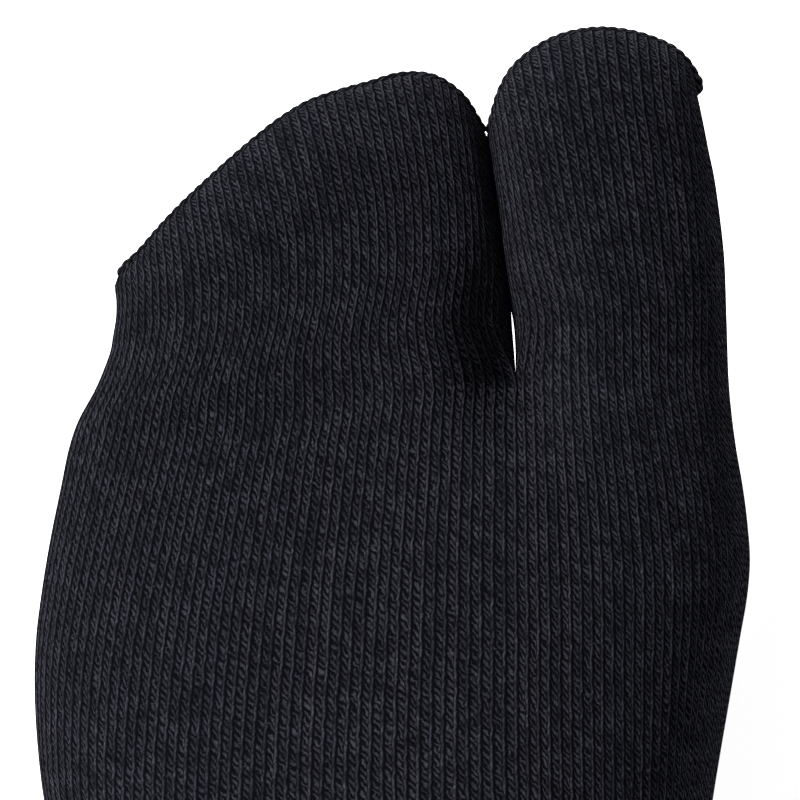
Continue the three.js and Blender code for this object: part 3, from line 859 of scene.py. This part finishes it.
def material_for(slot_name, settings):
    """The material of a slot. All three are made at the first call."""
    if not Yarns.materials:
        stitches, fuzz = stitch_group(), fuzz_group()
        colours = {
            "jersey_knit": settings.yarn,
            "rib_knit": settings.yarn,
            "seam_yarn": settings.seam_yarn,
        }
        for label, colour in colours.items():
            Yarns.materials[label] = knit_material(label, tuple(colour), settings, stitches, fuzz)
    return Yarns.materials[slot_name]


def surface():
    """The tube's rings, with one beyond the fork, and the chains of the two pockets."""
    if Yarns.tube is None:
        rings = tube_rings()
        Yarns.chains = {name: pocket_chain(name, rings) for name in POCKETS}
        Yarns.tube = np.concatenate([rings, ring_after_fork(Yarns.chains)[None]])
    return Yarns.tube, Yarns.chains


def tube_wales():
    """The wale count at each column of the tube."""
    return np.arange(WALES_ROUND * PER_WALE) / PER_WALE


def level_courses(rows, columns):
    """Course counts that are the same all along a row."""
    return np.broadcast_to(np.arange(rows, dtype=float)[:, None], (rows, columns))


class SOCK_OT_leg(Operator):
    """Knit the cuff and the leg"""

    bl_idname = "sock.leg"
    bl_label = "Cuff and leg"

    def execute(self, context):
        settings = context.scene.sock_knit
        tube, _ = surface()
        u = tube_wales()
        for name, node, first, last, slot_name in (
            ("cuff_rib", "cuff", 0, CUFF_END, "rib_knit"),
            ("leg_knit", "leg", CUFF_END, ANKLE_START, "jersey_knit"),
        ):
            base, normal = knit_grid(tube, course_rows(tube, SHIN_COLUMN, first, last))
            v = level_courses(*base.shape[:2])
            height = np.broadcast_to(wale_relief(u, WALE_DEPTH), v.shape)
            wall = WALL
            if node == "cuff":
                ribbed = smoothstep((len(v) - 1 - v) / RIB_FADE)
                height = height * (1 - ribbed) + rib_relief(u, RIB_DEPTH) * ribbed
                wall = CUFF_WALL
            points = base + normal * height[..., None]
            material = material_for(slot_name, settings)
            thing = knit_object(name, base, normal, points, u, v, material, wall)
            finish_piece(thing, [node])
        return {"FINISHED"}


class SOCK_OT_ankle(Operator):
    """Knit the instep and the turned heel"""

    bl_idname = "sock.ankle"
    bl_label = "Instep and heel"

    def execute(self, context):
        tube, _ = surface()
        jersey = material_for("jersey_knit", context.scene.sock_knit)
        half = WALES_ROUND // 2 * PER_WALE
        columns = np.arange(half + 1)
        for name, first, node in (("instep_knit", 0, "instep"), ("heel_knit", half, "heel")):
            chain = tube[:, (first + columns) % (2 * half)]
            rows = course_rows(chain, half // 2, ANKLE_START, FOOT_START)
            base, normal = knit_grid(chain, rows, closed=False)
            u = (first + columns) / PER_WALE
            v, along = level_courses(*base.shape[:2]), courses_along(base)
            if node == "heel":
                v = np.minimum(along, along[-1] - along)
            points = base + normal * wale_relief(u, WALE_DEPTH)[:, None]
            thing = knit_object(name, base, normal, points, u, v, jersey, closed=False)
            finish_piece(thing, [node])
        return {"FINISHED"}


class SOCK_OT_foot(Operator):
    """Knit the foot and its two toe pockets"""

    bl_idname = "sock.foot"
    bl_label = "Foot and toes"

    def execute(self, context):
        tube, chains = surface()
        jersey = material_for("jersey_knit", context.scene.sock_knit)
        u = tube_wales()
        courses = 0
        for name, first, last in (
            ("foot_rear_knit", FOOT_START, FOOT_SPLIT),
            ("foot_front_knit", FOOT_SPLIT, FORK),
        ):
            base, normal = knit_grid(tube, course_rows(tube, SHIN_COLUMN, first, last))
            v = level_courses(*base.shape[:2]) + courses
            points = base + normal * wale_relief(u, WALE_DEPTH)[:, None]
            thing = knit_object(name, base, normal, points, u, v, jersey)
            finish_piece(thing, ["foot"])
            courses += len(v) - 1
        for name, chain in chains.items():
            pocket = POCKETS[name]
            rows = course_rows(chain, chain.shape[1] // 4, 1, len(chain) - 1, 2)
            base, normal = knit_grid(chain, rows)
            wales = pocket_wales(name)
            along = courses_along(base)
            v = along + courses
            out, back = shared_columns(pocket)
            tip_points = base + normal * wale_relief(wales, WALE_DEPTH)[:, None]
            tip_points[0, : len(out)] = points[-1][out]
            tip_points[0, -len(back) :] = points[-1][back]
            thing = knit_object(f"{name}_knit", base, normal, tip_points, wales, v, jersey, tip=True)
            finish_piece(thing, [pocket["node"]])
        return {"FINISHED"}


BEAD_SPACING, BEAD_WIDTH = 1.4, 1.05
BEAD_OFFSET = -0.05  # how far the seam's middle stands outside the toe's edge
BEAD_STEPS = 8  # rings of the mesh in a bead
BEAD_WAIST = 0.72  # a bead's width at its ends as a share of its width
KNOT_PLACE, KNOT_REACH = 1.2, 1.2  # in beads from the seam's first end
END_REACH = 0.5  # beads over which the seam is drawn in at its ends
SEAM_SIDES = 12
SEAM_WALES = 3  # wales of stitches round the seam
SEAM_POINTS = 16  # steps of the curve that the seam follows


def seam_object(name, path, knot_width, material):
    """A linked seam: a round bar along the toe's edge whose radius swells once a bead by the absolute
    sine of its length, thicker in a knot at its first end, and drawn in to a point at both ends."""
    fine = spline(path, np.linspace(0, len(path) - 1, FINE))
    length = np.linalg.norm(np.diff(fine, axis=0), axis=1).sum()
    beads = round(length / BEAD_SPACING)
    line = spread(fine, beads * BEAD_STEPS)
    turn = np.linspace(0, beads, len(line))
    swell = BEAD_WAIST + (1 - BEAD_WAIST) * np.abs(np.sin(math.pi * turn))
    knot = np.exp(-(((turn - KNOT_PLACE) / KNOT_REACH) ** 2))
    radius = BEAD_WIDTH / 2 * swell + (knot_width - BEAD_WIDTH) / 2 * knot
    end = np.minimum(turn, beads - turn) / END_REACH
    radius = radius * np.sqrt(np.clip(end * (2 - np.minimum(end, 1)), 0, 1))
    ahead = np.gradient(line, axis=0)
    ahead /= np.linalg.norm(ahead, axis=1, keepdims=True)
    up = np.array([0.0, 0.0, 1.0])
    side = np.cross(ahead, up)
    angle = 2 * math.pi * np.arange(SEAM_SIDES) / SEAM_SIDES
    ring = np.cos(angle)[None, :, None] * side[:, None] + np.sin(angle)[None, :, None] * up
    points = line[1:-1, None] + ring[1:-1] * radius[1:-1, None, None]
    count = len(points)
    numbers = np.arange(count * SEAM_SIDES).reshape(count, SEAM_SIDES)
    quads = grid_faces(numbers, True)
    first, last = count * SEAM_SIDES, count * SEAM_SIDES + 1
    ahead_numbers = np.roll(numbers, -1, axis=1)
    caps = np.concatenate([
        np.stack([np.full(SEAM_SIDES, first), numbers[0], ahead_numbers[0]], axis=-1),
        np.stack([np.full(SEAM_SIDES, last), ahead_numbers[-1], numbers[-1]], axis=-1),
    ])
    every = np.concatenate([points.reshape(-1, 3), line[:1], line[-1:]])
    u = np.tile(np.arange(SEAM_SIDES) / SEAM_SIDES * SEAM_WALES, count)
    v = np.repeat(turn[1:-1], SEAM_SIDES)
    at = np.concatenate([np.stack([u, v], axis=-1), [[0.0, 0.0], [0.0, beads]]])
    quad_uvs = at[quads]
    quad_u = quad_uvs[..., 0]
    wrapped = quad_u.max(axis=1, keepdims=True) - quad_u > SEAM_WALES / 2
    quad_uvs[..., 0] = np.where(wrapped, quad_u + SEAM_WALES, quad_u)
    return mesh_object(name, every, [quads, caps], [quad_uvs, at[caps]], material)


class SOCK_OT_seams(Operator):
    """Link the two toe seams"""

    bl_idname = "sock.seams"
    bl_label = "Toe seams"

    def execute(self, context):
        material = material_for("seam_yarn", context.scene.sock_knit)
        _, chains = surface()
        for name, chain in chains.items():
            pocket = POCKETS[name]
            half = chain.shape[1] // 2
            last = len(chain) - 1
            base, _ = knit_grid(chain, np.array([last - 0.3, last]))  # just short of the edge, and on it
            before, line = base[:, : half + 1]
            away = np.cross(np.gradient(line, axis=0), (0.0, 0.0, 1.0))
            away /= np.linalg.norm(away, axis=1, keepdims=True)
            away *= np.sign(np.sum(away * (line - before), axis=1))[:, None]
            path = (line + away * BEAD_OFFSET)[:: half // SEAM_POINTS]
            thing = seam_object(f"{name}_seam_knit", path, pocket["knot"], material)
            finish_piece(thing, [pocket["seam_node"]])
        return {"FINISHED"}


def soft_light(name, place, aim, size, power, colour):
    """A square area light at a place in the row frame, turned to face another."""
    light = bpy.data.lights.new(name, "AREA")
    light.shape = "SQUARE"
    light.size = size
    light.energy = power
    light.color = colour
    thing = bpy.data.objects.new(name, light)
    thing.location = place
    thing.rotation_euler = (Vector(aim) - Vector(place)).to_track_quat("-Z", "Y").to_euler()
    bpy.context.collection.objects.link(thing)
    return thing


VIEW_AIM = (0.001, 0.1492, -0.205)  # the middle of the view, at the height of the toes
FLOOR_REACH = 3.0
KEY_PLACE, KEY_SIZE = (-1.0, 0.75, 0.75), 0.35
FILL_PLACE, FILL_SIZE = (0.9, -0.1, 0.9), 0.9
FILL_SHARE = 0.02  # of the key light's power
KEY_COLOUR, FILL_COLOUR = (1.0, 0.99, 0.97), (0.95, 0.98, 1.0)
WHITE = (1.0, 1.0, 1.0, 1.0)
PAPER_DARK, PAPER_LIGHT = (0.85, 0.85, 0.85, 1.0), (0.97, 0.97, 0.97, 1.0)


class SOCK_OT_stage(Operator):
    """Set the camera over the toes, the floor and the lights"""

    bl_idname = "sock.stage"
    bl_label = "Stage"

    def execute(self, context):
        settings = context.scene.sock_stage
        scene = context.scene
        camera = bpy.data.cameras.new("camera")
        camera.lens = camera.sensor_width * settings.view_height / settings.view_width
        camera.clip_start, camera.clip_end = 0.05, 20.0
        eye = bpy.data.objects.new("camera", camera)
        eye.location = (VIEW_AIM[0], VIEW_AIM[1], VIEW_AIM[2] + settings.view_height)
        bpy.context.collection.objects.link(eye)
        scene.camera = eye

        floor_z = -SOCK_HEIGHT * MM - settings.floor_gap
        signs = ((-1, -1), (1, -1), (1, 1), (-1, 1))
        corners = [(x * FLOOR_REACH, y * FLOOR_REACH, floor_z) for x, y in signs]
        mesh = bpy.data.meshes.new("floor")
        mesh.from_pydata(corners, [], [(0, 1, 2, 3)])
        floor = bpy.data.objects.new("floor", mesh)
        bpy.context.collection.objects.link(floor)
        paper = bpy.data.materials.new("paper")
        paper.use_nodes = True
        t = Tree(paper.node_tree)
        shade = paper.node_tree.nodes["Principled BSDF"]
        place = t.add("TexCoord").outputs["Object"]
        tone = t.step(t.noise(place, 6.0), 0.0, 1.0, 0.96, 1.0)
        t.put(shade.inputs["Base Color"], t.mix(tone, PAPER_DARK, PAPER_LIGHT))
        shade.inputs["Roughness"].default_value = 0.9
        shade.inputs["Emission Color"].default_value = WHITE
        shade.inputs["Emission Strength"].default_value = 0.7
        mesh.materials.append(paper)

        power = settings.key_power
        key = soft_light("key", KEY_PLACE, VIEW_AIM, KEY_SIZE, power, KEY_COLOUR)
        fill = soft_light("fill", FILL_PLACE, VIEW_AIM, FILL_SIZE, power * FILL_SHARE, FILL_COLOUR)

        world = bpy.data.worlds.new("studio")
        world.use_nodes = True
        sky = world.node_tree.nodes["Background"]
        sky.inputs["Color"].default_value = WHITE
        sky.inputs["Strength"].default_value = settings.sky
        scene.world = world
        scene.view_settings.view_transform = "Standard"
        return {"FINISHED"}


class SOCK_PT_panel(Panel):
    """The sock's settings and its steps in order"""

    bl_label = "Tabi sock"
    bl_idname = "SOCK_PT_panel"
    bl_space_type = "VIEW_3D"
    bl_region_type = "UI"
    bl_category = "Tabi sock"

    def draw(self, context):
        column = self.layout.column()
        for group, operators in (
            (context.scene.sock_knit, (SOCK_OT_leg, SOCK_OT_ankle, SOCK_OT_foot, SOCK_OT_seams)),
            (context.scene.sock_stage, (SOCK_OT_stage,)),
        ):
            for key in type(group).__annotations__:
                column.prop(group, key)
            for operator in operators:
                column.operator(operator.bl_idname)


CLASSES = (
    KnitSettings,
    StageSettings,
    SOCK_OT_leg,
    SOCK_OT_ankle,
    SOCK_OT_foot,
    SOCK_OT_seams,
    SOCK_OT_stage,
    SOCK_PT_panel,
)


def register():
    for item in CLASSES:
        bpy.utils.register_class(item)
    bpy.types.Scene.sock_knit = PointerProperty(type=KnitSettings)
    bpy.types.Scene.sock_stage = PointerProperty(type=StageSettings)


def unregister():
    del bpy.types.Scene.sock_stage
    del bpy.types.Scene.sock_knit
    for item in reversed(CLASSES):
        bpy.utils.unregister_class(item)


def main():
    register()
    bpy.ops.sock.leg()
    bpy.ops.sock.ankle()
    bpy.ops.sock.foot()
    bpy.ops.sock.seams()
    bpy.ops.sock.stage()


if __name__ == "__main__":
    main()
